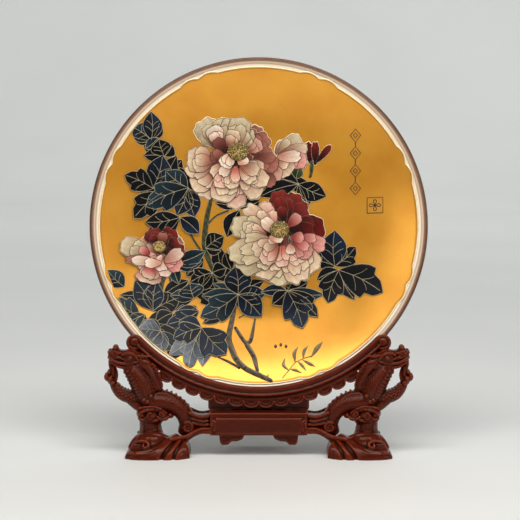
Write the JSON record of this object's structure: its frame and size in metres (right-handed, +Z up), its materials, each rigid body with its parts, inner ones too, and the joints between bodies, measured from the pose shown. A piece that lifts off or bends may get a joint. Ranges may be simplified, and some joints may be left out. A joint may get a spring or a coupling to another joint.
{
  "type": "decorative porcelain plate on a carved dragon stand",
  "caption": "Round dished porcelain plate with a gilt face and raised enamel peonies, leaning in a carved double-dragon wooden cradle with a hinged backrest.",
  "frame": {"origin": "centre of the bounding box in X and Y, on the table under the feet", "axes": "+Z up, the painted face looks along -Y, +X to the viewer's right"},
  "size_m": [0.26, 0.0981, 0.2994],
  "materials": {
    "porcelain": "glossy",
    "brown_glaze": "glossy",
    "gilding": "satin gold",
    "blossom_enamel": "glossy",
    "leaf_enamel": "glossy",
    "branch_enamel": "glossy",
    "lacquered_wood": "glossy lacquer",
    "plain_wood": "matte",
    "brass": "satin",
    "steel": "satin",
    "felt": "matte"
  },
  "bodies": {
    "stand": {"cradle_rail": "lacquered_wood", "scalloped_apron": "lacquered_wood", "centre_block": "lacquered_wood", "front_panel": "lacquered_wood", "left_corner_bracket": "lacquered_wood", "right_corner_bracket": "lacquered_wood", "left_arch_rail": "lacquered_wood", "right_arch_rail": "lacquered_wood", "left_dragon": "lacquered_wood", "right_dragon": "lacquered_wood", "left_pedestal": "lacquered_wood", "right_pedestal": "lacquered_wood", "left_foot": "lacquered_wood", "right_foot": "lacquered_wood", "dowels": "plain_wood", "hinge_bracket": "brass", "bracket_screws": "steel", "hinge_pin": "steel"},
    "plate": {"plate_body": "porcelain", "rim_band": "brown_glaze", "gilt_face": "gilding", "blossom_relief": "blossom_enamel", "leaf_relief": "leaf_enamel", "branch_relief": "branch_enamel"},
    "backrest": {"backrest_panel": "lacquered_wood", "backrest_pads": "felt"},
    "wing_nut": {"thumb_nut": "brass"}
  },
  "joints": [
    {"name": "plate_lift", "type": "slide", "parent": "stand", "child": "plate", "axis": [0, 0.1908, 0.9816], "range_m": [0, 0.15]},
    {"name": "backrest_tilt", "type": "hinge", "parent": "stand", "child": "backrest", "pos_m": [0, 0.0147, 0.025], "axis": [-1, 0, 0], "range_deg": [0, 60]},
    {"name": "wing_nut_turn", "type": "hinge", "parent": "stand", "child": "wing_nut", "pos_m": [0.0185, 0.0147, 0.025], "axis": [1, 0, 0], "continuous": true}
  ]
}
